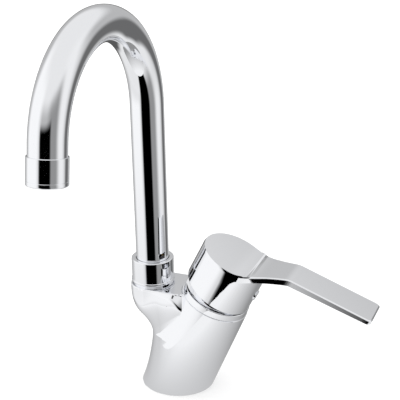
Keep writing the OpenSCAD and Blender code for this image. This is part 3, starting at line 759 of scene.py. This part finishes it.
foot = draw_down(lever, foot, lambda place: Vector((place.x, place.y, 2.1 - place.x * skirt_slope)))
foot = draw_down(lever, foot, lambda place: inward(place, 21.5))
foot = draw_down(lever, foot, lambda place: Vector((place.x, place.y, 24.0)))
foot = draw_down(lever, foot, lambda place: inward(place, 7.5))
foot = draw_down(lever, foot, lambda place: Vector((place.x, place.y, 10.0)))
bmesh.ops.contextual_create(lever, geom=foot)
bmesh.ops.recalc_face_normals(lever, faces=lever.faces)
soften(lever, 0.3, 3, least=20)
bmesh.ops.scale(lever, vec=(mm, mm, mm), verts=lever.verts)
bmesh.ops.transform(lever, matrix=handle_place, verts=lever.verts)
lever_mesh = bpy.data.meshes.new("lever_handle")
lever.to_mesh(lever_mesh)
lever.free()
handle = new_piece("lever_handle", lever_mesh, chrome)
even = handle.modifiers.new("even_shine", "WEIGHTED_NORMAL")
even.weight = 90
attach(handle, "lever")
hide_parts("handle")

# Index plug. A small button with a rounded edge, plated, pressed into the cap over the set screw.
button = bmesh.new()
button_place = handle_place @ Matrix.Translation(Vector((cap_x + 21.5, 0, 13)) * mm) @ Matrix.Rotation(
    math.pi / 2, 4, "Y"
)
lathe(button, [(0, 0), (3.7, 0), (3.7, 2.8), (0, 2.8)], 48, button_place)
bmesh.ops.recalc_face_normals(button, faces=button.faces)
soften(button, 0.5, 4)
button_mesh = bpy.data.meshes.new("screw_button")
button.to_mesh(button_mesh)
button.free()
plug = new_piece("screw_button", button_mesh, chrome)
plug.modifiers.new("even_shine", "WEIGHTED_NORMAL").weight = 80
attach(plug, "lever")
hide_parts("index_plug")

# Rubber and plastics. The gasket, seals and washer are black rubber with a bloom of chalk, and the
# cartridge and the slide rings are moulded plastic with the fine grain of the mould.
grain = bpy.data.node_groups.new("moulding_grain", "ShaderNodeTree")
for name in ("Grain Scale", "Roughness Low", "Roughness High", "Relief"):
    grain.interface.new_socket(name, in_out="INPUT", socket_type="NodeSocketFloat")
for name, kind in (("Cloud", "NodeSocketFloat"), ("Roughness", "NodeSocketFloat"), ("Normal", "NodeSocketVector")):
    grain.interface.new_socket(name, in_out="OUTPUT", socket_type=kind)
grain_in = add(grain, "NodeGroupInput")
grain_out = add(grain, "NodeGroupOutput")
grain_place = add(grain, "ShaderNodeTexCoord")
grain_fine = add(grain, "ShaderNodeTexNoise")
grain_fine.inputs["Detail"].default_value = 3
grain_cloud = add(grain, "ShaderNodeTexNoise")
grain_cloud.inputs["Scale"].default_value = 130
grain_cloud.inputs["Detail"].default_value = 5
grain_range = add(grain, "ShaderNodeMapRange")
grain_range.inputs["From Min"].default_value = 0.35
grain_range.inputs["From Max"].default_value = 0.65
grain_bump = add(grain, "ShaderNodeBump")
grain_bump.inputs["Distance"].default_value = 0.00006
link(grain, grain_place.outputs["Object"], grain_fine.inputs["Vector"])
link(grain, grain_place.outputs["Object"], grain_cloud.inputs["Vector"])
link(grain, grain_in.outputs["Grain Scale"], grain_fine.inputs["Scale"])
link(grain, grain_cloud.outputs["Fac"], grain_range.inputs["Value"])
link(grain, grain_in.outputs["Roughness Low"], grain_range.inputs["To Min"])
link(grain, grain_in.outputs["Roughness High"], grain_range.inputs["To Max"])
link(grain, grain_fine.outputs["Fac"], grain_bump.inputs["Height"])
link(grain, grain_in.outputs["Relief"], grain_bump.inputs["Strength"])
link(grain, grain_cloud.outputs["Fac"], grain_out.inputs["Cloud"])
link(grain, grain_range.outputs["Result"], grain_out.inputs["Roughness"])
link(grain, grain_bump.outputs["Normal"], grain_out.inputs["Normal"])


def moulded(name, tint, bloom, low, high, relief, scale, nodes):
    """A moulded or fired material on the nodes that are made of it."""
    stuff = bpy.data.materials.new(name)
    stuff.use_nodes = True
    tree = stuff.node_tree
    shader = tree.nodes["Principled BSDF"]
    surface = add(tree, "ShaderNodeGroup", node_tree=grain)
    surface.inputs["Grain Scale"].default_value = scale
    surface.inputs["Roughness Low"].default_value = low
    surface.inputs["Roughness High"].default_value = high
    surface.inputs["Relief"].default_value = relief
    blend = add(tree, "ShaderNodeMix", data_type="RGBA")
    blend.inputs["A"].default_value = (*tint, 1)
    blend.inputs["B"].default_value = (*bloom, 1)
    link(tree, surface.outputs["Cloud"], blend.inputs["Factor"])
    link(tree, blend.outputs["Result"], shader.inputs["Base Color"])
    link(tree, surface.outputs["Roughness"], shader.inputs["Roughness"])
    link(tree, surface.outputs["Normal"], shader.inputs["Normal"])
    for node in nodes:
        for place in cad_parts[node].material_slots:
            place.material = stuff


moulded(
    "black_rubber_skin", (0.02, 0.02, 0.021), (0.06, 0.06, 0.062), 0.5, 0.75, 0.5, 2500,
    ["base_gasket", "cartridge_port_seals", "spout_o_rings", "aerator_washer"]
)
moulded(
    "white_acetal", (0.78, 0.78, 0.75), (0.86, 0.86, 0.84), 0.32, 0.46, 0.25, 1800,
    ["cartridge_base", "cartridge_housing", "lower_slide_ring", "upper_slide_ring", "aerator_insert"]
)
moulded(
    "grey_acetal", (0.2, 0.21, 0.225), (0.27, 0.28, 0.3), 0.35, 0.5, 0.25, 1800, ["disc_carrier", "cartridge_rotor"]
)
moulded(
    "red_acetal", (0.5, 0.03, 0.02), (0.6, 0.06, 0.045), 0.34, 0.48, 0.25, 1800, ["temperature_limit_ring"]
)
moulded(
    "lapped_alumina", (0.84, 0.83, 0.8), (0.9, 0.89, 0.87), 0.14, 0.24, 0.06, 5000,
    ["fixed_ceramic_disc", "moving_ceramic_disc"]
)

# Bare metals. Brass and steel parts are turned from bar, so fine rings from the tool run round
# them, and the wire and the grub screw have a drawn, slightly dull skin.
turning = bpy.data.node_groups.new("turning_marks", "ShaderNodeTree")
turning.interface.new_socket("Place", in_out="INPUT", socket_type="NodeSocketVector")
for name in ("Pitch", "Roughness Low", "Roughness High", "Depth"):
    turning.interface.new_socket(name, in_out="INPUT", socket_type="NodeSocketFloat")
for name, kind in (("Tarnish", "NodeSocketFloat"), ("Roughness", "NodeSocketFloat"), ("Normal", "NodeSocketVector")):
    turning.interface.new_socket(name, in_out="OUTPUT", socket_type=kind)
turning_in = add(turning, "NodeGroupInput")
turning_out = add(turning, "NodeGroupOutput")
tool_marks = add(turning, "ShaderNodeTexWave", wave_type="BANDS", bands_direction="Z")
tool_marks.inputs["Distortion"].default_value = 1.5
tool_marks.inputs["Detail"].default_value = 3
tarnish = add(turning, "ShaderNodeTexNoise")
tarnish.inputs["Scale"].default_value = 160
tarnish.inputs["Detail"].default_value = 5
turning_range = add(turning, "ShaderNodeMapRange")
turning_bump = add(turning, "ShaderNodeBump")
turning_bump.inputs["Distance"].default_value = 0.00004
link(turning, turning_in.outputs["Place"], tool_marks.inputs["Vector"])
link(turning, turning_in.outputs["Place"], tarnish.inputs["Vector"])
link(turning, turning_in.outputs["Pitch"], tool_marks.inputs["Scale"])
link(turning, tarnish.outputs["Fac"], turning_range.inputs["Value"])
link(turning, turning_in.outputs["Roughness Low"], turning_range.inputs["To Min"])
link(turning, turning_in.outputs["Roughness High"], turning_range.inputs["To Max"])
link(turning, tool_marks.outputs["Fac"], turning_bump.inputs["Height"])
link(turning, turning_in.outputs["Depth"], turning_bump.inputs["Strength"])
link(turning, tarnish.outputs["Fac"], turning_out.inputs["Tarnish"])
link(turning, turning_range.outputs["Result"], turning_out.inputs["Roughness"])
link(turning, turning_bump.outputs["Normal"], turning_out.inputs["Normal"])


def turned(name, tint, dull, low, high, depth, tilt, nodes):
    """A bare turned metal, with its axis leaning by a given angle."""
    metal = bpy.data.materials.new(name)
    metal.use_nodes = True
    tree = metal.node_tree
    shader = tree.nodes["Principled BSDF"]
    shader.inputs["Metallic"].default_value = 1
    where = add(tree, "ShaderNodeTexCoord")
    lay = add(tree, "ShaderNodeMapping")
    lay.inputs["Rotation"].default_value = (0, -tilt, 0)
    surface = add(tree, "ShaderNodeGroup", node_tree=turning)
    surface.inputs["Pitch"].default_value = 900
    surface.inputs["Roughness Low"].default_value = low
    surface.inputs["Roughness High"].default_value = high
    surface.inputs["Depth"].default_value = depth
    blend = add(tree, "ShaderNodeMix", data_type="RGBA")
    blend.inputs["A"].default_value = (*tint, 1)
    blend.inputs["B"].default_value = (*dull, 1)
    link(tree, where.outputs["Object"], lay.inputs["Vector"])
    link(tree, lay.outputs["Vector"], surface.inputs["Place"])
    link(tree, surface.outputs["Tarnish"], blend.inputs["Factor"])
    link(tree, blend.outputs["Result"], shader.inputs["Base Color"])
    link(tree, surface.outputs["Roughness"], shader.inputs["Roughness"])
    link(tree, surface.outputs["Normal"], shader.inputs["Normal"])
    for node in nodes:
        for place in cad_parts[node].material_slots:
            place.material = metal


brass_light, brass_dull = (0.80, 0.60, 0.28), (0.66, 0.46, 0.2)
steel_light, steel_dull = (0.62, 0.62, 0.63), (0.5, 0.5, 0.52)
turned(
    "turned_brass_leaning", brass_light, brass_dull, 0.2, 0.34, 0.4, lean, ["cartridge_nut", "lever_stem"]
)
turned("turned_brass_upright", brass_light, brass_dull, 0.2, 0.34, 0.4, 0, ["spout_bush"])
turned("ground_steel_pin", steel_light, steel_dull, 0.16, 0.26, 0.2, 0, ["pivot_pin"])
turned(
    "screw_steel", steel_light, steel_dull, 0.3, 0.42, 0.4, handle_lean + math.pi / 2, ["handle_set_screw"]
)
turned("wire_steel", steel_light, steel_dull, 0.2, 0.3, 0.1, 0, ["aerator_mesh"])
